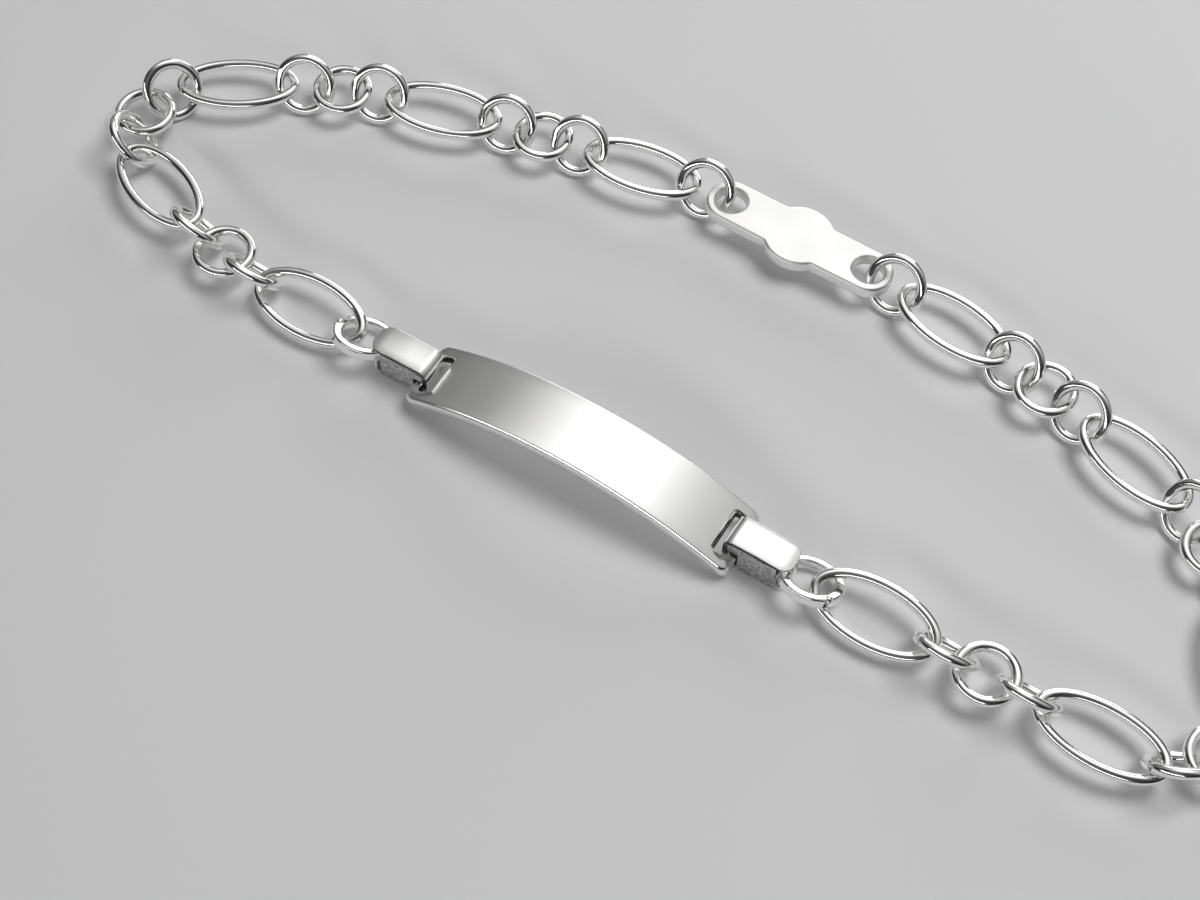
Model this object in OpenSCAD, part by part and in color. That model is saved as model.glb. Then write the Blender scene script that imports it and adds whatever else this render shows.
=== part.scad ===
// Identity bracelet: a curved plain plate held at each end by a folded bail
// and a jump ring, on a chain of long and round links that closes round the
// wrist in one loop. It lies on a surface, plate side towards -Y. Millimetres.

/* [Plate] */
// Straight length of the plate from end to end
plate_l = 27; // [25:0.5:30]
// Width of the plate
plate_w = 5.4; // [5:0.1:6]
// Thickness of the plate's metal
plate_t = 0.9; // [0.8:0.05:1]
// Radius of the plate's top face, curved to suit a wrist
plate_r = 30.5; // [28:0.5:34]
// Radius of the plate's corners, seen from above
corner_r = 0.7; // [0.3:0.1:1.2]
// Size of the polished chamfer round the plate's long rims
rim = 0.16; // [0.1:0.02:0.2]
// Width of the bar left between each slot and the plate's end
bar_w = 0.7; // [0.6:0.05:0.8]
// Width of each slot, measured along the plate
slot_w = 1.0; // [0.9:0.05:1.1]
// Length of each slot, measured across the plate
slot_l = 3.4; // [3.2:0.1:3.8]

/* [Bails] */
// Width of the folded strap
bail_w = 2.4; // [2.2:0.1:2.6]
// Height of the bail from its flat underside to its top leaf
bail_h = 3.1; // [3:0.05:3.3]
// Thickness of the strap's metal
leaf_t = 0.36; // [0.3:0.02:0.4]
// Height of the dark groove between the top leaf and the block under it
groove_h = 0.24; // [0.15:0.01:0.3]
// Depth of that groove
groove_d = 0.2; // [0.1:0.05:0.3]
// Radius of the top leaf's outer corners, seen from above
nose_r = 0.9; // [0.6:0.1:1.1]
// Radius of the fold where the top leaf dips into the slot
fold_r = 0.7; // [0.4:0.1:0.8]

/* [Chain] */
// Diameter of the wire that the links are made of
wire_d = 0.82; // [0.78:0.01:0.84]
// Length of a long link, measured outside
long_link_l = 9.88; // [9.6:0.02:10.2]
// Width of a long link, measured outside
long_link_w = 5.18; // [5:0.02:5.3]
// Flat sections round a long link
sections = 16; // [12:4:16]
// Flat sides round a long link's wire
wire_sides = 6; // [5:1:6]
// Diameter of a round link, measured outside
round_link_d = 4.94; // [4.9:0.02:5.1]
// Half of the run that a long link takes up in the chain
long_reach = 3.8; // [3.6:0.05:3.85]
// Half of the run that a round link takes up in the chain
round_reach = 1.52; // [1.45:0.01:1.55]
// Distance of the first long link's middle from the plate's middle
first_link_x = 23.65; // [23.5:0.05:23.8]
// Height of the flat links' middle above the surface
flat_z = 1.88; // [1.85:0.01:1.95]
// Height of the first long link's middle, lower because the jump ring carries it
first_z = 1.62; // [1.6:0.01:1.65]
// Roll of the first long link over the jump ring's far arm, in degrees
first_roll = 15; // [12:1:18]
// Lean of the standing links from upright, in degrees
lean = 36; // [34:1:38]
// How far each link rolls or leans to either side of its plain place, in degrees
sway = 2; // [0:1:3]
// Turns of the right side from one long link to the next, in degrees
right_turns = [0, 120, 43, 8]; // [0:1:130]
// Turns of the left side from one long link to the next, in degrees
left_turns = [20, 128, 17, 6]; // [0:1:130]

/* [Jump rings] */
// Width of the jump rings' squared wire, measured from above
ring_wire_w = 0.74; // [0.7:0.02:0.78]
// Height of the jump rings' squared wire
ring_wire_h = 0.8; // [0.76:0.02:0.84]
// Rise of a jump ring towards the plate's near rim, in degrees
ring_rise = 26; // [25:1:28]
// Distance from the plate's end to the nearest point of the ring's middle line
ring_reach = 3.15; // [3.1:0.05:3.2]

/* [Clasp] */
// Width of the clasp's body
clasp_w = 5.6; // [5.4:0.1:6]
// Thickness of the clasp's body
clasp_t = 1.1; // [1:0.05:1.2]
// Radius of the eye at each end of the clasp
eye_r = 1.2; // [1.15:0.05:1.25]
// Metal left outside each eye
eye_wall = 0.75; // [0.7:0.05:0.85]
// Play between each eye and the end ring that stands in it
eye_play = 0.4; // [0.35:0.05:0.45]

/* [Hidden] */
$fn = 48;
// Air left between pieces that hold each other
gap = 0.08;
wire_r = wire_d / 2;
long_a = long_link_l / 2 - wire_r;
long_b = long_link_w / 2 - wire_r;
round_r = round_link_d / 2 - wire_r;

// The plate's underside meets this height at its ends, clear of the bails
plate_end_z = leaf_t + gap;
plate_axis_z = plate_end_z - sqrt(pow(plate_r - plate_t, 2) - pow(plate_l / 2, 2));
bar_x = plate_l / 2 - bar_w;
slot_x = bar_x - slot_w;

// The bail hugs the bar: its riser stands in the slot and its nose is past the end
riser_x = bar_x - gap - leaf_t;
ring_x = plate_l / 2 + ring_reach + round_r;
nose_x = ring_x - round_r + ring_wire_w / 2 + gap + leaf_t;
ring_z = bail_h / 2;

// Links of one side, from the jump ring to the clasp: every fourth is a long one.
// Both sides are laid out towards +X, and the left one is mirrored at the end.
sides = ["right", "left"];
function turns(side) = side == "left" ? left_turns : right_turns;
groups = len(right_turns);
last_link = 4 * groups + 1;
function is_long(i) = i % 4 == 0;
function is_standing(i) = i % 2 == 1;
function reach(i) = is_long(i) ? long_reach : round_reach;
function sum_to(list, n) = n < 0 ? 0 : list[n] + sum_to(list, n - 1);
function turn_after(side, i) = i < 4 * groups
    ? turns(side)[floor(i / 4)] / 4
    : (180 - sum_to(turns(side), groups - 1)) / 2;
function heading(side, i) = i == 0 ? 0 : heading(side, i - 1) + turn_after(side, i - 1);
function towards(angle) = [cos(angle), sin(angle)];
function place(side, i) = i == 0
    ? [first_link_x, 0]
    : place(side, i - 1) + reach(i - 1) * towards(heading(side, i - 1)) + reach(i) * towards(heading(side, i));

// How each link is tilted about its own heading, and how high its middle is
function leans(i) = lean + sway * sin(100 * i);
function tilt(i) = is_standing(i) ? leans(i) - 90 : i == 0 ? first_roll : sway * sin(140 * i);
function standing_z(i) = round_r * cos(leans(i)) + wire_r;
function middle_z(i) = is_standing(i) ? standing_z(i) : i == 0 ? first_z : flat_z;

// The clasp lies between the points where the end rings cross its own height
function end_joint(side) = place(side, last_link)
    + reach(last_link) * towards(heading(side, last_link))
    + (standing_z(last_link) - flat_z) * tan(leans(last_link)) * towards(heading(side, last_link) + 90);
right_joint = end_joint("right");
left_joint = [-end_joint("left")[0], end_joint("left")[1]];
clasp_middle = (right_joint + left_joint) / 2;
clasp_angle = atan2(right_joint[1] - left_joint[1], right_joint[0] - left_joint[0]);
clasp_half = norm(right_joint - left_joint) / 2 + eye_play + eye_wall;

// The origin is the middle of the whole loop's box, on the surface
function spread(i, angle) = let (a = is_long(i) ? long_a : round_r, b = is_long(i) ? long_b : round_r)
    norm([a * cos(angle), b * cos(tilt(i)) * sin(angle)]) + wire_r;
function farthest_x(side) = max([for (i = [0 : last_link])
    place(side, i)[0] + spread(i, heading(side, i))]);
function farthest_y(side) = max([for (i = [0 : last_link])
    place(side, i)[1] + spread(i, heading(side, i) - 90)]);
top_y = max(farthest_y("right"), farthest_y("left"), clasp_middle[1] + clasp_w / 2);
middle = [(farthest_x("right") - farthest_x("left")) / 2, (top_y - plate_w / 2) / 2];

function link_name(side, i) = str(side, "_link_", i < 9 ? "0" : "", i + 1);

// Moves a piece of the right side into place, or its mirror image to the left
module on_side(side) {
    translate([-middle[0], -middle[1], 0])
        if (side == "left") mirror([1, 0, 0]) children();
        else children();
}

module rounded_plan(length, width, radius) {
    square([length - 2 * radius, width], center = true);
    square([length, width - 2 * radius], center = true);
    for (x = [-1, 1], y = [-1, 1])
        translate([x * (length / 2 - radius), y * (width / 2 - radius)]) circle(radius);
}

module plate_section() {
    inner = plate_r - plate_t;
    half = plate_w / 2;
    polygon([
        [inner, -half + rim], [inner + rim, -half], [plate_r - rim, -half], [plate_r, -half + rim],
        [plate_r, half - rim], [plate_r - rim, half], [inner + rim, half], [inner, half - rim]]);
}

module plate() {
    color("silver") translate([-middle[0], -middle[1], 0]) difference() {
        intersection() {
            translate([0, 0, plate_axis_z]) rotate([90, 0, 0])
                rotate_extrude() plate_section();
            linear_extrude(2 * bail_h + plate_r)
                rounded_plan(plate_l, plate_w, corner_r);
        }
        for (side = [-1, 1])
            translate([side * (slot_x + slot_w / 2), 0, 0])
                linear_extrude(plate_r) square([slot_w, slot_l], center = true);
    }
}

module bail() {
    bar_top = plate_axis_z + sqrt(pow(plate_r, 2) - pow(bar_x, 2)) + gap;
    room = ring_wire_w / 2 + gap;
    leaf_z = bail_h - leaf_t;
    block_z = leaf_z - groove_h;
    color("gainsboro") difference() {
        union() {
            // Top leaf, rounded at its outer end
            translate([0, 0, leaf_z]) linear_extrude(leaf_t) leaf_plan();
            // Underside leaf, the same shape
            linear_extrude(leaf_t) leaf_plan();
            // Nose wall that closes the fold round the jump ring
            intersection() {
                linear_extrude(bail_h) leaf_plan();
                translate([nose_x - nose_r, -bail_w, 0]) cube([nose_r, 2 * bail_w, bail_h]);
            }
            // Riser that goes up through the plate's slot
            translate([riser_x, -bail_w / 2, 0]) cube([leaf_t, bail_w, bail_h]);
            // Block between the leaves, from the bar to the jump ring
            translate([riser_x, -bail_w / 2, 0]) cube([nose_x - nose_r - riser_x, bail_w, block_z]);
            translate([riser_x, -bail_w / 2 + groove_d, 0])
                cube([nose_x - nose_r - riser_x, bail_w - 2 * groove_d, leaf_z]);
        }
        // Fold where the top leaf dips into the slot
        translate([riser_x, 0, bail_h]) rotate([90, 0, 0])
            linear_extrude(2 * bail_w, center = true) difference() {
                square(2 * fold_r, center = true);
                translate([fold_r, -fold_r]) circle(fold_r);
                translate([fold_r, -2 * fold_r]) square(2 * fold_r);
            }
        // Room for the plate's bar
        translate([bar_x - gap, -bail_w, leaf_t])
            cube([bar_w + 2 * gap, 2 * bail_w, bar_top - leaf_t]);
        // Room for the jump ring's wire
        translate([ring_x, 0, leaf_t]) linear_extrude(leaf_z - leaf_t) difference() {
            circle(round_r + room);
            circle(round_r - room);
        }
        // Room for the same wire where the ring's rise takes it nearer the nose
        translate([ring_x, 0, ring_z]) rotate([-ring_rise, 0, 0]) rotate_extrude()
            translate([round_r, 0]) square([2 * room, ring_wire_h + 2 * gap], center = true);
    }
}

module leaf_plan() {
    translate([riser_x, -bail_w / 2]) square([nose_x - nose_r - riser_x, bail_w]);
    translate([nose_x - nose_r, -bail_w / 2 + nose_r]) square([nose_r, bail_w - 2 * nose_r]);
    for (y = [-1, 1])
        translate([nose_x - nose_r, y * (bail_w / 2 - nose_r)]) circle(nose_r);
}

// Soldered ring of squared wire, rising towards the plate's near rim
module jump_ring() {
    corner = 0.2;
    color("silver") translate([ring_x, 0, ring_z]) rotate([-ring_rise, 0, 0])
        rotate_extrude() translate([round_r, 0]) polygon([
            for (q = [0 : 3], k = [0, 1])
                let (x = (q == 0 || q == 3) ? 1 : -1, y = q < 2 ? 1 : -1,
                     flat_first = (q % 2 == 0) == (k == 0))
                [x * (ring_wire_w / 2 - (flat_first ? 0 : corner)),
                 y * (ring_wire_h / 2 - (flat_first ? corner : 0))]]);
}

module round_link() {
    rotate_extrude() translate([round_r, 0]) circle(wire_r);
}

// Round wire bent to an ellipse, swept as one closed tube of flat facets
module long_link() {
    middle = [for (s = [0 : sections - 1]) let (t = 360 * s / sections) [long_a * cos(t), long_b * sin(t), 0]];
    outwards = [for (s = [0 : sections - 1]) let (t = 360 * s / sections,
        n = [long_b * cos(t), long_a * sin(t), 0]) n / norm(n)];
    points = [for (s = [0 : sections - 1], k = [0 : wire_sides - 1])
        let (a = 360 * (k + 0.5) / wire_sides)
            middle[s] + wire_r * (cos(a) * outwards[s] + sin(a) * [0, 0, 1])];
    corner = function(s, k) (s % sections) * wire_sides + k % wire_sides;
    faces = [for (s = [0 : sections - 1], k = [0 : wire_sides - 1])
        for (half = [0, 1]) half == 0
            ? [corner(s, k), corner(s, k + 1), corner(s + 1, k)]
            : [corner(s, k + 1), corner(s + 1, k + 1), corner(s + 1, k)]];
    polyhedron(points, faces);
}

// A link where it lies in its side's chain
module link(side, i) {
    at = place(side, i);
    color(is_standing(i) ? "lightgray" : "silver")
        translate([at[0], at[1], middle_z(i)])
            rotate([0, 0, heading(side, i)])
                rotate([tilt(i), 0, 0])
                    if (is_long(i)) long_link(); else round_link();
}

// Plain closed clasp: a flat body with an eye at each end
module clasp() {
    end_r = eye_r + eye_wall;
    end_x = max(clasp_half - end_r, end_r);
    color("silver") translate([clasp_middle[0] - middle[0], clasp_middle[1] - middle[1], flat_z - clasp_t / 2])
        rotate([0, 0, clasp_angle]) difference() {
            linear_extrude(clasp_t) {
                circle(clasp_w / 2);
                square([2 * end_x, 2 * end_r], center = true);
                for (x = [-end_x, end_x]) translate([x, 0]) circle(end_r);
            }
            for (x = [-end_x, end_x])
                translate([x, 0, -clasp_t]) cylinder(r = eye_r, h = 3 * clasp_t);
        }
}

plate();
clasp();
for (side = sides) {
    on_side(side) bail();
    on_side(side) jump_ring();
    for (i = [0 : last_link])
        on_side(side) link(side, i);
}
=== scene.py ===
# %% [markdown]
# # An identity bracelet in polished silver
# The bracelet is a curved plate held at each end by a folded strap, a squared
# jump ring and a chain of long and round links that closes in one loop. The
# solid model gives every piece its place and size. This script gives each
# one the rounded edges, the wire and the finish that catch the light.

# %% Load the solid model
import math

import bmesh
import bpy
import numpy as np
from mathutils import Matrix, Vector


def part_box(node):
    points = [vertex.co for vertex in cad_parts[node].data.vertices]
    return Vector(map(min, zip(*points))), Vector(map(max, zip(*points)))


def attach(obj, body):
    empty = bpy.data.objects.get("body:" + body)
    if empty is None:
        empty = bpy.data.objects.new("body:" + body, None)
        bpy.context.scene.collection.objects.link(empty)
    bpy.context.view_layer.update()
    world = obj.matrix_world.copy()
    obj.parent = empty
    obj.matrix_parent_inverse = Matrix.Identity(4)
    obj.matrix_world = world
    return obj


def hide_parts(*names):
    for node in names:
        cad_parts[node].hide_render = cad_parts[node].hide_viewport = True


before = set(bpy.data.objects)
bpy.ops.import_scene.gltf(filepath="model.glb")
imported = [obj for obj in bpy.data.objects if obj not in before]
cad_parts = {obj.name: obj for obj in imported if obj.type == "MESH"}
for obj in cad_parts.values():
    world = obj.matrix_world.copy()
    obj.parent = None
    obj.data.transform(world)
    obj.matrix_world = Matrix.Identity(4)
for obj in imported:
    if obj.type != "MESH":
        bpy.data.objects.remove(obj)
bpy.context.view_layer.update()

# %% [markdown]
# Shapes this small are easier to think of in millimetres, so each piece is
# modelled in them and shrunk to metres as the last step. The plate is the
# piece that the eye goes to first, so its middle is the point that the
# camera and the lights are placed from.

# %% Units and the plate's place
MM = 0.001
plate_low, plate_high = (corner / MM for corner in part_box("plate"))
plate_length = plate_high.x - plate_low.x
plate_width = plate_high.y - plate_low.y
plate_middle = (plate_low + plate_high) / 2
print(f"plate {plate_length:.1f} by {plate_width:.1f} mm, top at {plate_high.z:.2f} mm")

# %% [markdown]
# A finished bmesh becomes an object at the origin. It rides on the solid
# model's one body, hides the solids that it replaces and is shaded
# smooth. Weighted normals keep a flat face flat right up to its bevel, which
# a polished surface shows at once when it is wrong.

# %% Turn a bmesh into a piece


def add_piece(name, bm, materials, nodes, weighted=False):
    bmesh.ops.scale(bm, vec=(MM, MM, MM), verts=bm.verts)
    for face in bm.faces:
        face.smooth = True
    mesh = bpy.data.meshes.new(name)
    bm.to_mesh(mesh)
    bm.free()
    for material in materials:
        mesh.materials.append(material)
    piece = bpy.data.objects.new(name, mesh)
    bpy.context.scene.collection.objects.link(piece)
    if weighted:
        normals = piece.modifiers.new("flat faces stay flat", "WEIGHTED_NORMAL")
        normals.weight = 100
        normals.keep_sharp = True
    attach(piece, "root")
    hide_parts(*nodes)
    print(f"{name}: {len(mesh.polygons)} faces")


# %% [markdown]
# Polished silver is a metal with a neutral, very pale colour. What makes it
# look real is that it is never a perfect mirror: buffing leaves soft
# hairlines that blur a reflection one way, and handling leaves the gloss a
# little uneven. Noise stretched along one axis makes the hairlines, and a
# broad noise varies the roughness.

# %% Helpers for metal


def new_metal(name):
    material = bpy.data.materials.new(name)
    material.use_nodes = True
    nodes = material.node_tree.nodes
    shader = nodes["Principled BSDF"]
    shader.inputs["Metallic"].default_value = 1.0
    return material, nodes, material.node_tree.links, shader


def noise(nodes, links, scale, detail, roughness=0.5):
    """Noise whose scale is in cycles to a millimetre, one number for each axis."""
    place = nodes.new("ShaderNodeTexCoord")
    mapping = nodes.new("ShaderNodeMapping")
    mapping.inputs["Scale"].default_value = [s / MM for s in scale]
    texture = nodes.new("ShaderNodeTexNoise")
    texture.inputs["Scale"].default_value = 1.0
    texture.inputs["Detail"].default_value = detail
    texture.inputs["Roughness"].default_value = roughness
    links.new(place.outputs["Object"], mapping.inputs["Vector"])
    links.new(mapping.outputs["Vector"], texture.inputs["Vector"])
    return texture.outputs["Fac"]


def spread(nodes, links, value, low, high, start=0.3, end=0.7):
    """Spreads a noise's useful range over the numbers that a socket wants."""
    ramp = nodes.new("ShaderNodeMapRange")
    ramp.inputs["From Min"].default_value = start
    ramp.inputs["From Max"].default_value = end
    ramp.inputs["To Min"].default_value = low
    ramp.inputs["To Max"].default_value = high
    links.new(value, ramp.inputs["Value"])
    return ramp.outputs["Result"]


def bump(nodes, links, height, depth_mm, normal=None):
    """Tilts the normals by a height, on top of another bump's normal where one is given."""
    node = nodes.new("ShaderNodeBump")
    node.inputs["Distance"].default_value = depth_mm * MM
    links.new(height, node.inputs["Height"])
    if normal is not None:
        links.new(normal, node.inputs["Normal"])
    return node.outputs["Normal"]


# %% Polished silver
SILVER = (0.93, 0.925, 0.915, 1)
HANDLING_SCALE = (0.35, 0.35, 0.35)
RIPPLE_SCALE = (0.6, 0.6, 0.6)


def polished_silver(name, gloss, hairline_scale, hairline_depth, ripple_depth):
    """Gloss is the lowest and highest roughness, and the two depths are in millimetres."""
    material, nodes, links, shader = new_metal(name)
    shader.inputs["Base Color"].default_value = SILVER
    handling = noise(nodes, links, HANDLING_SCALE, detail=3)
    links.new(spread(nodes, links, handling, *gloss), shader.inputs["Roughness"])
    ripples = bump(nodes, links, noise(nodes, links, RIPPLE_SCALE, detail=2), ripple_depth)
    hairlines = noise(nodes, links, hairline_scale, detail=3, roughness=0.7)
    links.new(bump(nodes, links, hairlines, hairline_depth, ripples), shader.inputs["Normal"])
    return material


plate_finish = polished_silver(
    "polished plate", gloss=(0.17, 0.23), hairline_scale=(0.4, 14, 14), hairline_depth=0.0003,
    ripple_depth=0.0006)
strap_finish = polished_silver(
    "polished strap", gloss=(0.14, 0.22), hairline_scale=(0.8, 12, 12), hairline_depth=0.0005,
    ripple_depth=0.002)
wire_finish = polished_silver(
    "polished wire", gloss=(0.08, 0.18), hairline_scale=(5, 5, 5), hairline_depth=0.0005,
    ripple_depth=0.012)
clasp_finish = polished_silver(
    "satin clasp", gloss=(0.34, 0.44), hairline_scale=(0.5, 9, 9), hairline_depth=0.004,
    ripple_depth=0.004)
print("polished finishes:", [material.name for material in bpy.data.materials])

# %% [markdown]
# The sides of the folded strap were never polished: they are sawn metal with
# a mottled, grainy face. The same metal gets a darker colour that varies from
# grain to grain, a much rougher gloss and a coarse bump. The plate's slots and
# the thin sides of the strap's top leaf get a near black metal. It is partly
# tarnished metal where no polishing cloth reaches, and partly painted shade:
# it darkens the slots and draws the shadowed seam under the leaf.

# %% Sawn silver
GRAIN_SCALE = (3.5, 3.5, 3.5)
GRAIN_DEPTH = 0.05
DARK_GRAIN = (0.3, 0.3, 0.305, 1)
BRIGHT_GRAIN = (0.9, 0.895, 0.88, 1)


def sawn_silver(name):
    material, nodes, links, shader = new_metal(name)
    grain = noise(nodes, links, GRAIN_SCALE, detail=6, roughness=0.65)
    tone = nodes.new("ShaderNodeMix")
    tone.data_type = "RGBA"
    tone.inputs["A"].default_value = DARK_GRAIN
    tone.inputs["B"].default_value = BRIGHT_GRAIN
    links.new(spread(nodes, links, grain, 0, 1, start=0.35, end=0.72), tone.inputs["Factor"])
    links.new(tone.outputs["Result"], shader.inputs["Base Color"])
    links.new(spread(nodes, links, grain, 0.6, 0.34), shader.inputs["Roughness"])
    links.new(bump(nodes, links, grain, GRAIN_DEPTH), shader.inputs["Normal"])
    return material


sawn_finish = sawn_silver("sawn strap side")
print("unpolished finish:", sawn_finish.name)

# %% Tarnished metal and painted shade
# Near black: tarnished metal, and painted shade in the slots and on the leaf's sides.
TARNISH_AND_SHADE_COLOUR = (0.09, 0.088, 0.085, 1)
TARNISH_AND_SHADE_SCALE = (1.5, 1.5, 1.5)


def tarnish_and_painted_shade_metal(name):
    material, nodes, links, shader = new_metal(name)
    shader.inputs["Base Color"].default_value = TARNISH_AND_SHADE_COLOUR
    patches = noise(nodes, links, TARNISH_AND_SHADE_SCALE, detail=4)
    links.new(spread(nodes, links, patches, 0.45, 0.6), shader.inputs["Roughness"])
    return material


tarnish_and_painted_shade = tarnish_and_painted_shade_metal("tarnish and painted shade")
print("finish for the slots and the leaf's sides:", tarnish_and_painted_shade.name)

# %% [markdown]
# The plate starts as a flat bar with its four upright corners rounded. Planes
# cut it where the slots and the bars are, the slots' faces go and their walls
# are bridged. A narrow flat chamfer runs round every rim and has its own edges
# softened: it is the thin bright line that outlines the plate. The outer rim
# gets its chamfer before the cuts, while its edges are still whole. Last, more
# planes across the bar make it fine enough to bend: each vertex keeps its
# place along and across and is lifted onto the arch.

# %% The plate's measures
PLATE_THICKNESS = 0.9
ARCH_RADIUS = 30.5
CORNER_RADIUS = 0.7
BAR_WIDTH = 0.7
SLOT_WIDTH = 1.0
SLOT_LENGTH = 3.4
SLOT_CORNER = 0.22
RIM = 0.15
RIM_EDGE = 0.03
bar_x = plate_length / 2 - BAR_WIDTH
slot_x = bar_x - SLOT_WIDTH
print(f"slots from {slot_x:.2f} to {bar_x:.2f} mm either side of the middle")

# %% Helpers that cut and round


def cut(bm, place, way, clear_outer=False):
    geometry = bm.verts[:] + bm.edges[:] + bm.faces[:]
    return bmesh.ops.bisect_plane(
        bm, geom=geometry, dist=1e-5, plane_co=place, plane_no=way, clear_outer=clear_outer)


def round_edges(bm, edges, radius, segments):
    bmesh.ops.bevel(
        bm, geom=edges, offset=radius, segments=segments, profile=0.5,
        affect="EDGES", material=-1, clamp_overlap=False)


def upright(edge):
    """Whether an edge goes straight up, and over more than a rim's height."""
    a, b = (v.co for v in edge.verts)
    return abs(a.z - b.z) > 0.5 and (a.xy - b.xy).length < 1e-4


def sharp(edge, degrees):
    return edge.is_manifold and edge.calc_face_angle() > math.radians(degrees)


def chamfer(bm, wanted):
    """Cuts the wanted edges to a narrow flat and softens the flat's own edges."""
    round_edges(bm, [e for e in bm.edges if wanted(e) and sharp(e, 60)], RIM, 1)
    round_edges(bm, [e for e in bm.edges if wanted(e) and sharp(e, 30)], RIM_EDGE, 2)


def at_slot(edge):
    middle = (edge.verts[0].co + edge.verts[1].co) / 2
    return abs(middle.x) < bar_x + 2 * RIM and abs(middle.y) < SLOT_LENGTH / 2 + 2 * RIM


# %% The flat bar with its slots
bm = bmesh.new()
bmesh.ops.create_cube(bm, size=1)
bmesh.ops.scale(bm, vec=(plate_length, plate_width, PLATE_THICKNESS), verts=bm.verts)
bmesh.ops.translate(bm, vec=(0, 0, -PLATE_THICKNESS / 2), verts=bm.verts)
round_edges(bm, [e for e in bm.edges if upright(e)], CORNER_RADIUS, 6)
chamfer(bm, lambda edge: True)
for side in (-1, 1):
    for x in (slot_x, bar_x):
        cut(bm, (side * x, 0, 0), (1, 0, 0))
    cut(bm, (0, side * SLOT_LENGTH / 2, 0), (0, 1, 0))


def in_slot(face):
    middle = face.calc_center_median()
    return slot_x < abs(middle.x) < bar_x and abs(middle.y) < SLOT_LENGTH / 2 and abs(face.normal.z) > 0.5


bmesh.ops.delete(bm, geom=[f for f in bm.faces if in_slot(f)], context="FACES")
for side in (-1, 1):
    rim_edges = [e for e in bm.edges if e.is_boundary and side * e.verts[0].co.x > 0]
    bmesh.ops.bridge_loops(bm, edges=rim_edges)
slot_corners = [e for e in bm.edges if upright(e) and at_slot(e)]
round_edges(bm, slot_corners, SLOT_CORNER, 4)
bmesh.ops.recalc_face_normals(bm, faces=bm.faces)
chamfer(bm, at_slot)
print("flat bar with two slots:", len(bm.faces), "faces, closed:", all(e.is_manifold for e in bm.edges))

# %% Bend it to the arch
BEND_STEP = 0.45

for x in np.arange(-plate_length / 2 + BEND_STEP, plate_length / 2, BEND_STEP):
    cut(bm, (x, 0, 0), (1, 0, 0))
# A cut that just misses a vertex leaves an edge of almost no length
bmesh.ops.dissolve_degenerate(bm, dist=0.001, edges=bm.edges)
arch_axis = plate_high.z - ARCH_RADIUS
for v in bm.verts:
    v.co.z = arch_axis + math.sqrt((ARCH_RADIUS + v.co.z) ** 2 - v.co.x**2)
bmesh.ops.translate(bm, vec=(plate_middle.x, plate_middle.y, 0), verts=bm.verts)
print("bent plate:", len(bm.faces), "faces, closed:", all(e.is_manifold for e in bm.edges))

# %% Darken its slots with painted shade and tarnished metal, and finish it
SLOT_MARGIN = 0.05
STEEP = 0.4


def slot_wall(face):
    middle = face.calc_center_median() - plate_middle
    along = slot_x - SLOT_MARGIN < abs(middle.x) < bar_x + SLOT_MARGIN
    across = abs(middle.y) < SLOT_LENGTH / 2 + SLOT_MARGIN
    return along and across and abs(face.normal.z) < STEEP


# The slot walls get the near black metal: painted shade in the slots, with some tarnished metal.
for face in bm.faces:
    face.material_index = int(slot_wall(face))
add_piece("id_plate", bm, [plate_finish, tarnish_and_painted_shade], ["plate"], weighted=True)

# %% [markdown]
# Each link is a ring of round wire. The wire's section is a circle, spun once
# round and merged where it meets itself. A long link is the same ring with
# each of its sections carried out to an ellipse, square to the curve, so the
# wire keeps its thickness where a plain stretch would have thinned it.

# %% A ring of wire
WIRE_RADIUS = 0.41
WIRE_SIDES = 20
ROUND_HALF = 4.94 / 2 - WIRE_RADIUS
LONG_HALF = 9.88 / 2 - WIRE_RADIUS
WIDE_HALF = 5.18 / 2 - WIRE_RADIUS


def spin_ring(bm, radius, stations):
    """Spins the section that lies in the XZ plane at the given radius once round Z."""
    bmesh.ops.spin(
        bm, geom=bm.verts[:] + bm.edges[:], cent=(0, 0, 0), axis=(0, 0, 1),
        dvec=(0, 0, 0), angle=math.tau, steps=stations, use_merge=True, use_duplicate=False)
    bmesh.ops.remove_doubles(bm, verts=bm.verts, dist=1e-4)
    bmesh.ops.recalc_face_normals(bm, faces=bm.faces)


def wire_ring(half_length, half_width, stations):
    bm = bmesh.new()
    bmesh.ops.create_circle(bm, segments=WIRE_SIDES, radius=WIRE_RADIUS)
    bmesh.ops.rotate(bm, matrix=Matrix.Rotation(math.pi / 2, 3, "X"), verts=bm.verts)
    bmesh.ops.translate(bm, vec=(half_width, 0, 0), verts=bm.verts)
    spin_ring(bm, half_width, stations)
    if half_length != half_width:
        for v in bm.verts:
            turn = math.atan2(v.co.y, v.co.x)
            out = v.co.xy.length - half_width
            outwards = Vector((half_width * math.cos(turn), half_length * math.sin(turn), 0)).normalized()
            middle = Vector((half_length * math.cos(turn), half_width * math.sin(turn), v.co.z))
            v.co = middle + out * outwards
    return bm


print(f"wire of {2 * WIRE_RADIUS:.2f} mm, its middle {ROUND_HALF:.2f} mm from a round link's middle")

# %% [markdown]
# A link's own solid says where it lies and how it is turned: the middle of
# its box is the ring's middle, the way its points spread least is the way
# through it, and the way they spread most is a long link's length.

# %% Where a link lies


def lie_of(node, long):
    """The matrix that lays a ring, made flat round the origin, on a node's solid."""
    points = np.array([v.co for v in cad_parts[node].data.vertices]) / MM
    middle = (points.max(0) + points.min(0)) / 2
    ways = np.linalg.svd(points - middle, full_matrices=False)[2]
    through = Vector(ways[2])
    if through.z < 0:
        through.negate()
    along = Vector(ways[0]) if long else Vector((0, 0, 1)).cross(through)
    # A round ring that lies almost flat has no level way of its own to follow
    if along.length < 0.3:
        along = Vector((1, 0, 0))
    along = (along - along.dot(through) * through).normalized()
    turned = Matrix((along, through.cross(along), through)).transposed().to_4x4()
    return Matrix.Translation(Vector(middle)) @ turned


# %% Links
LINKS_IN_A_REPEAT = 4

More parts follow.
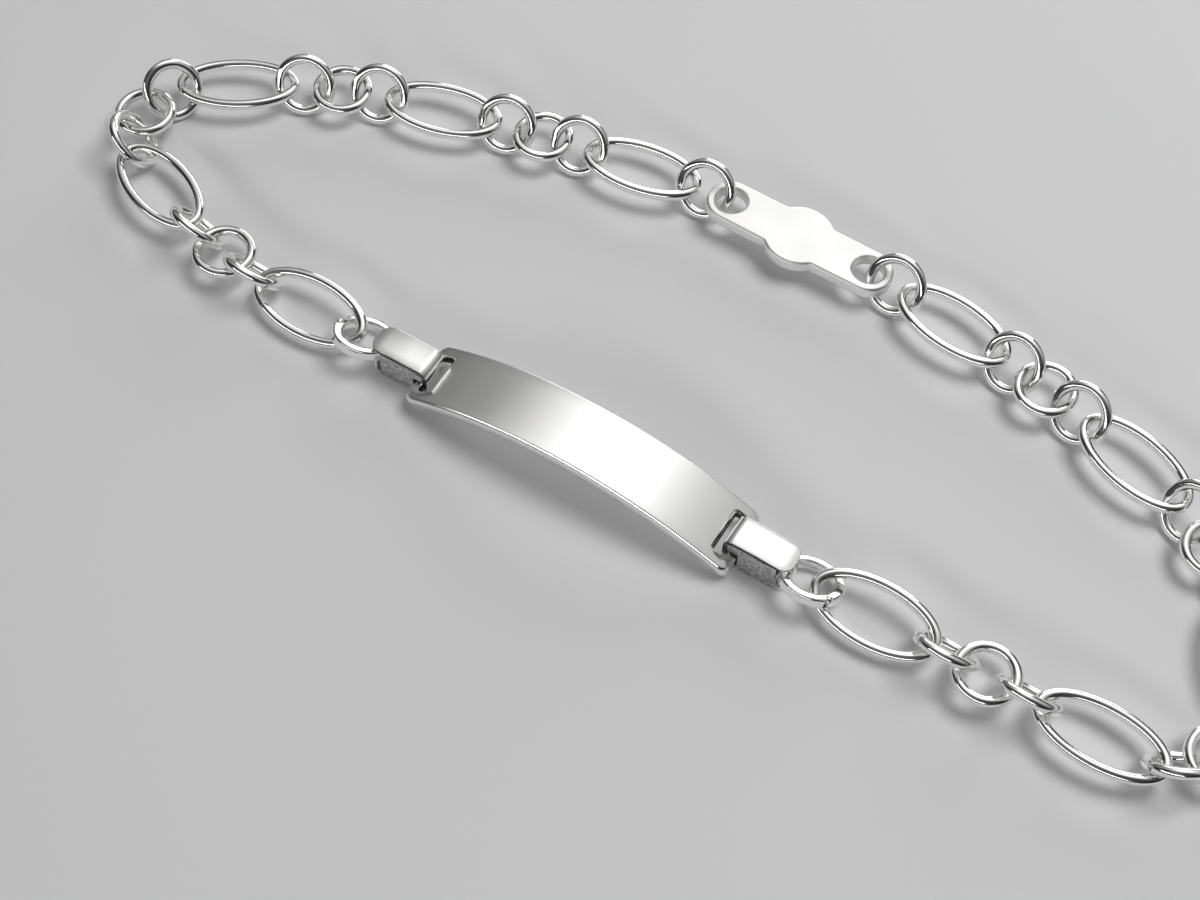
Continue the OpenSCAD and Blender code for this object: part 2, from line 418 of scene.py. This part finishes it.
link_names = sorted(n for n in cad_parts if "_link_" in n)
for name in link_names:
    long = int(name[-2:]) % LINKS_IN_A_REPEAT == 1
    if long:
        bm = wire_ring(LONG_HALF, WIDE_HALF, stations=96)
    else:
        bm = wire_ring(ROUND_HALF, ROUND_HALF, stations=64)
    bmesh.ops.transform(bm, matrix=lie_of(name, long), verts=bm.verts)
    add_piece(f"{name}_wire", bm, [wire_finish], [name])

# %% [markdown]
# The jump rings are made of squared wire, polished all over: a band on top
# and one on the side, with a soft corner between. Their section is a square with
# its corners rounded, spun round like the links. A bead of solder closes each
# one where its ends meet, near the first long link.

# %% Squared wire
RING_WIRE = (0.74, 0.80)
RING_CORNER = 0.17


def squared_ring():
    bm = bmesh.new()
    bmesh.ops.create_circle(bm, cap_ends=True, segments=4, radius=math.sqrt(0.5))
    bmesh.ops.rotate(bm, matrix=Matrix.Rotation(math.pi / 4, 3, "Z"), verts=bm.verts)
    bmesh.ops.scale(bm, vec=(*RING_WIRE, 1), verts=bm.verts)
    bmesh.ops.bevel(
        bm, geom=bm.verts[:], offset=RING_CORNER, segments=4, profile=0.5, affect="VERTICES", material=-1)
    bmesh.ops.delete(bm, geom=bm.faces[:], context="FACES_ONLY")
    bmesh.ops.rotate(bm, matrix=Matrix.Rotation(math.pi / 2, 3, "X"), verts=bm.verts)
    bmesh.ops.translate(bm, vec=(ROUND_HALF, 0, 0), verts=bm.verts)
    spin_ring(bm, ROUND_HALF, stations=96)
    return bm


print(f"squared wire of {RING_WIRE[0]} by {RING_WIRE[1]} mm")

# %% Jump rings with their beads of solder
SIDES = ("right", "left")
BEAD_RADIUS = 0.32
BEAD_OUT = 0.16
BEAD_UP = 0.2
BEAD_TURN = {"right": 145, "left": 2}

for side in SIDES:
    name = f"{side}_jump_ring"
    bm = squared_ring()
    turn = math.radians(BEAD_TURN[side])
    reach = ROUND_HALF + BEAD_OUT
    bead = Matrix.Translation((reach * math.cos(turn), reach * math.sin(turn), BEAD_UP))
    bmesh.ops.create_icosphere(bm, subdivisions=3, radius=BEAD_RADIUS, matrix=bead)
    bmesh.ops.transform(bm, matrix=lie_of(name, False), verts=bm.verts)
    add_piece(f"{name}_wire", bm, [wire_finish], [name], weighted=True)

# %% [markdown]
# The bails and the clasp have the right form in the solid model, but its edges
# are knife sharp. A copy of the mesh is merged, its flat triangles are joined
# into whole faces, and its sharp edges are rounded.

# %% A copy of a solid with soft edges


def merge(bm, distance, degrees):
    bmesh.ops.remove_doubles(bm, verts=bm.verts, dist=distance)
    bmesh.ops.dissolve_limit(bm, angle_limit=math.radians(degrees), verts=bm.verts, edges=bm.edges)


def merged_copy(node):
    bm = bmesh.new()
    bm.from_mesh(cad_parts[node].data)
    bmesh.ops.scale(bm, vec=(1 / MM, 1 / MM, 1 / MM), verts=bm.verts)
    merge(bm, distance=0.002, degrees=1)
    return bm


# %% [markdown]
# The strap of a bail is one folded strip. Its lower part, with the room for
# the plate's bar and for the jump ring, is the solid's own copy, cut off level
# under the top leaf. The leaf is made anew: a strip with a rounded end, bent
# down over a small radius where it dips into the slot, and falling away a
# little towards its outer end, which is what grades the light along it.

# %% The strap's measures
LEAF_THICKNESS = 0.38
LEAF_EDGE = 0.05
LEAF_STEP = 0.12
NOSE_RADIUS = 0.88
FOLD_RADIUS = 0.71
FALL_START = 1.3
FALL_RADIUS = 22
DIP = 1.2
STRAP_EDGE = 0.02
OVERLAP = 0.01
SIDE_FACING = 0.9
# The third finish is the near black one: tarnished metal and painted shade.
POLISHED, SAWN, TARNISHED_AND_SHADED = range(3)
leaf_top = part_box("right_bail")[1].z / MM
leaf_bottom = leaf_top - LEAF_THICKNESS
print(f"top leaf from {leaf_bottom:.2f} to {leaf_top:.2f} mm high")

# %% The strap's top leaf


def strap_leaf(riser, nose, width):
    """The top leaf, laid out flat from the nose inwards and then bent."""
    bend = riser + FOLD_RADIUS - OVERLAP
    inner = bend - FOLD_RADIUS * math.pi / 2 - DIP
    bm = bmesh.new()
    bmesh.ops.create_cube(bm, size=1)
    bmesh.ops.scale(bm, vec=(nose - inner, width, LEAF_THICKNESS), verts=bm.verts)
    bmesh.ops.translate(bm, vec=((nose + inner) / 2, 0, -LEAF_THICKNESS / 2), verts=bm.verts)
    nose_corners = [
        e for e in bm.edges
        if min(v.co.x for v in e.verts) > bend and abs(e.verts[0].co.z - e.verts[1].co.z) > 0.1]
    round_edges(bm, nose_corners, NOSE_RADIUS, 8)
    for x in np.arange(inner + LEAF_STEP, nose, LEAF_STEP):
        cut(bm, (x, 0, 0), (1, 0, 0))
    for v in bm.verts:
        depth = -v.co.z
        past = bend - v.co.x
        if past <= 0:
            fall = max(v.co.x - (bend + FALL_START), 0) ** 2 / (2 * FALL_RADIUS)
            share = 1 - depth / LEAF_THICKNESS
            v.co.z = leaf_top - depth - fall * share
            continue
        turn = min(past / FOLD_RADIUS, math.pi / 2)
        down = max(past - FOLD_RADIUS * math.pi / 2, 0)
        v.co.x = bend - (FOLD_RADIUS - depth) * math.sin(turn)
        v.co.z = leaf_top - FOLD_RADIUS + (FOLD_RADIUS - depth) * math.cos(turn) - down
    round_edges(bm, [e for e in bm.edges if sharp(e, 50)], LEAF_EDGE, 2)
    bm.normal_update()
    # The leaf's thin sides get the near black metal: a painted shadowed seam under the leaf.
    for face in bm.faces:
        face.material_index = TARNISHED_AND_SHADED if abs(face.normal.y) > SIDE_FACING else POLISHED
    return bm


# %% Bails
to_middle = Matrix.Translation((-plate_middle.x, -plate_middle.y, 0))

for side in SIDES:
    name = f"{side}_bail"
    # Both are worked on as the right one, so the left one is mirrored first
    outwards = 1 if side == "right" else -1
    to_right = Matrix.Diagonal((outwards, 1, 1, 1)) @ to_middle
    bm = merged_copy(name)
    bmesh.ops.transform(bm, matrix=to_right, verts=bm.verts)
    bmesh.ops.recalc_face_normals(bm, faces=bm.faces)
    riser = min(v.co.x for v in bm.verts)
    nose = max(v.co.x for v in bm.verts)
    width = 2 * max(v.co.y for v in bm.verts)
    level = cut(bm, (0, 0, leaf_bottom + OVERLAP), (0, 0, 1), clear_outer=True)
    bmesh.ops.holes_fill(bm, edges=[e for e in level["geom_cut"] if isinstance(e, bmesh.types.BMEdge)])
    # Edges shorter than this would make the rounding fold over itself
    merge(bm, distance=0.05, degrees=3)
    round_edges(bm, [e for e in bm.edges if sharp(e, 50)], STRAP_EDGE, 1)
    for face in bm.faces:
        face.material_index = SAWN if abs(face.normal.y) > SIDE_FACING else POLISHED
    leaf = strap_leaf(riser, nose, width)
    leaf_mesh = bpy.data.meshes.new("leaf")
    leaf.to_mesh(leaf_mesh)
    bm.from_mesh(leaf_mesh)
    bpy.data.meshes.remove(leaf_mesh)
    leaf.free()
    bmesh.ops.transform(bm, matrix=to_right.inverted(), verts=bm.verts)
    bmesh.ops.recalc_face_normals(bm, faces=bm.faces)
    print(f"{name}: strap from {riser:.2f} to {nose:.2f} mm, {width:.2f} mm wide")
    add_piece(f"{name}_strap", bm, [strap_finish, sawn_finish, tarnish_and_painted_shade], [name], weighted=True)

# %% [markdown]
# The photograph doesn't show the clasp, so it is a plain one. It is handled
# more than any other piece, and that is why its edges are rounded most and
# why it has a satin finish, which hides small scratches.

# %% Clasp
CLASP_EDGE = 0.26

bm = merged_copy("clasp")
round_edges(bm, [e for e in bm.edges if sharp(e, 40)], CLASP_EDGE, 4)
add_piece("plain_clasp", bm, [clasp_finish], ["clasp"], weighted=True)

# %% [markdown]
# A pale floor carries the bracelet, and it stands in a light tent, as small
# polished things do in a studio: silver shows what is round it and little
# else. The tent is a half tube along the plate's width, so the plate's arch
# shows its brightness from one side to the other as a slow change from grey
# to white and back. Its ends are open and dark, which is what draws the dark
# lines along the wire, and a soft box at the far end and a strip at the near
# one put bright lines beside them. The floor isn't lit by the tent, which would
# leave no shadows, but by a soft key light nearly overhead that the silver
# doesn't show. The room round it all is dim.

# %% Floor
FLOOR_SIZE = 1.5
FLOOR_COLOUR = (0.78, 0.78, 0.785, 1)
FLOOR_ROUGHNESS = 0.8


def plain_material(name, colour, roughness):
    material = bpy.data.materials.new(name)
    material.use_nodes = True
    shader = material.node_tree.nodes["Principled BSDF"]
    shader.inputs["Base Color"].default_value = colour
    shader.inputs["Roughness"].default_value = roughness
    return material


def stage_piece(name, bm, material):
    mesh = bpy.data.meshes.new(name)
    bm.to_mesh(mesh)
    bm.free()
    mesh.materials.append(material)
    piece = bpy.data.objects.new(name, mesh)
    bpy.context.scene.collection.objects.link(piece)
    print(f"{name}: {len(mesh.polygons)} faces")
    return piece


bm = bmesh.new()
bmesh.ops.create_grid(bm, x_segments=1, y_segments=1, size=FLOOR_SIZE)
stage_piece("floor", bm, plain_material("pale floor", FLOOR_COLOUR, FLOOR_ROUGHNESS))

# %% The tent's glow
TENT_STRENGTH = 1.5
TENT_DIMMEST = 0.1
TENT_FADE = (-0.12, 0.06)
TENT_GLOW = (
    (-88, 0.03), (-66, 0.15), (-48, 0.19), (-38, 0.3), (-24, 0.68), (-12, 1.0),
    (4, 1.0), (14, 0.64), (24, 0.42), (38, 0.33), (62, 0.2), (84, 0.03))


def tent_material():
    """Glows by the angle from upright, to the left below zero, and fades towards the camera's side."""
    material = bpy.data.materials.new("light tent")
    material.use_nodes = True
    nodes, links = material.node_tree.nodes, material.node_tree.links
    nodes.clear()
    place = nodes.new("ShaderNodeTexCoord")
    gradient = nodes.new("ShaderNodeTexGradient")
    gradient.gradient_type = "RADIAL"
    ramp = nodes.new("ShaderNodeValToRGB")
    ramp.color_ramp.interpolation = "B_SPLINE"
    stops = ramp.color_ramp.elements
    while len(stops) < len(TENT_GLOW):
        stops.new(0.5)
    for stop, (degrees, glow) in zip(stops, reversed(TENT_GLOW)):
        stop.position = 0.5 + (90 - degrees) / 360
        stop.color = (glow, glow, glow, 1)
    emission = nodes.new("ShaderNodeEmission")
    along = nodes.new("ShaderNodeSeparateXYZ")
    links.new(place.outputs["Object"], along.inputs["Vector"])
    fade = spread(
        nodes, links, along.outputs["Z"], TENT_STRENGTH, TENT_DIMMEST * TENT_STRENGTH, *TENT_FADE)
    links.new(fade, emission.inputs["Strength"])
    links.new(place.outputs["Object"], gradient.inputs["Vector"])
    links.new(gradient.outputs["Fac"], ramp.inputs["Fac"])
    links.new(ramp.outputs["Color"], emission.inputs["Color"])
    links.new(emission.outputs["Emission"], nodes.new("ShaderNodeOutputMaterial").inputs["Surface"])
    return material


# %% The tent
TENT_RADIUS = 0.5
TENT_LENGTH = 1.1

bm = bmesh.new()
bmesh.ops.create_cone(
    bm, cap_ends=False, segments=96, radius1=TENT_RADIUS, radius2=TENT_RADIUS, depth=TENT_LENGTH)
below = [v for v in bm.verts if v.co.y < -0.001]
bmesh.ops.delete(bm, geom=below, context="VERTS")
tent = stage_piece("light tent", bm, tent_material())
over_plate = Matrix.Translation((plate_middle.x * MM, plate_middle.y * MM, 0))
tent.matrix_world = over_plate @ Matrix.Rotation(math.pi / 2, 4, "X")
tent.visible_camera = False
tent.visible_diffuse = False
tent.visible_shadow = False

# %% Strips at the tent's ends and the key light
light_target = plate_middle * MM


def facing(way, distance):
    """The matrix of a light that stands the given way from the plate and is turned to face it."""
    direction = Vector(way).normalized()
    turn = direction.to_track_quat("Z", "Y").to_matrix().to_4x4()
    return Matrix.Translation(light_target + direction * distance) @ turn


def soft_box(name, way, distance, size, power):
    data = bpy.data.lights.new(name, "AREA")
    data.shape = "RECTANGLE"
    data.size, data.size_y = size
    data.energy = power
    light = bpy.data.objects.new(name, data)
    light.matrix_world = facing(way, distance)
    bpy.context.scene.collection.objects.link(light)
    print(f"{name}: {distance} m away, {power} W")
    return light


soft_box("back box", way=(-0.2, 0.93, 0.3), distance=0.45, size=(0.34, 0.16), power=0.55)
soft_box("front strip", way=(-0.2, -0.86, 0.45), distance=0.5, size=(0.95, 0.06), power=0.85)
key = soft_box("key", way=(0.3, 0.33, 0.9), distance=0.48, size=(0.26, 0.26), power=1.35)
key.visible_glossy = False

# %% Dim room
world = bpy.data.worlds.new("dim room")
bpy.context.scene.world = world
world.use_nodes = True
background = world.node_tree.nodes["Background"]
background.inputs["Color"].default_value = (0.04, 0.041, 0.043, 1)
background.inputs["Strength"].default_value = 1.0
print("world:", world.name)

# %% [markdown]
# The camera looks down on the plate from its near left side, at the angle and
# with the lens that the plate's outline in the photograph gives.

# %% Camera
AZIMUTH = 29.9
ELEVATION = 59.05
ROLL = 2.2
DISTANCE = 138.7
AIM = Vector((0.34, 2.24, -0.64))
FOCAL_PIXELS = 1911
PHOTO_WIDTH = 1200

azimuth, elevation = math.radians(AZIMUTH), math.radians(ELEVATION)
back = Vector((
    math.sin(azimuth) * math.cos(elevation), -math.cos(azimuth) * math.cos(elevation), math.sin(elevation)))
camera_data = bpy.data.cameras.new("camera")
camera_data.sensor_width = 36
camera_data.lens = camera_data.sensor_width * FOCAL_PIXELS / PHOTO_WIDTH
camera_data.clip_start = 0.005
camera = bpy.data.objects.new("camera", camera_data)
aim = Vector((plate_middle.x, plate_middle.y, 0)) + AIM
camera.location = (aim + back * DISTANCE) * MM
camera.rotation_euler = (
    (-back).to_track_quat("-Z", "Y").to_matrix() @ Matrix.Rotation(math.radians(ROLL), 3, "Z")).to_euler()
bpy.context.scene.collection.objects.link(camera)
bpy.context.scene.camera = camera
bpy.context.scene.view_settings.view_transform = "Standard"
print(f"camera {DISTANCE} mm from its aim, {ELEVATION} degrees up, lens {camera_data.lens:.1f} mm")
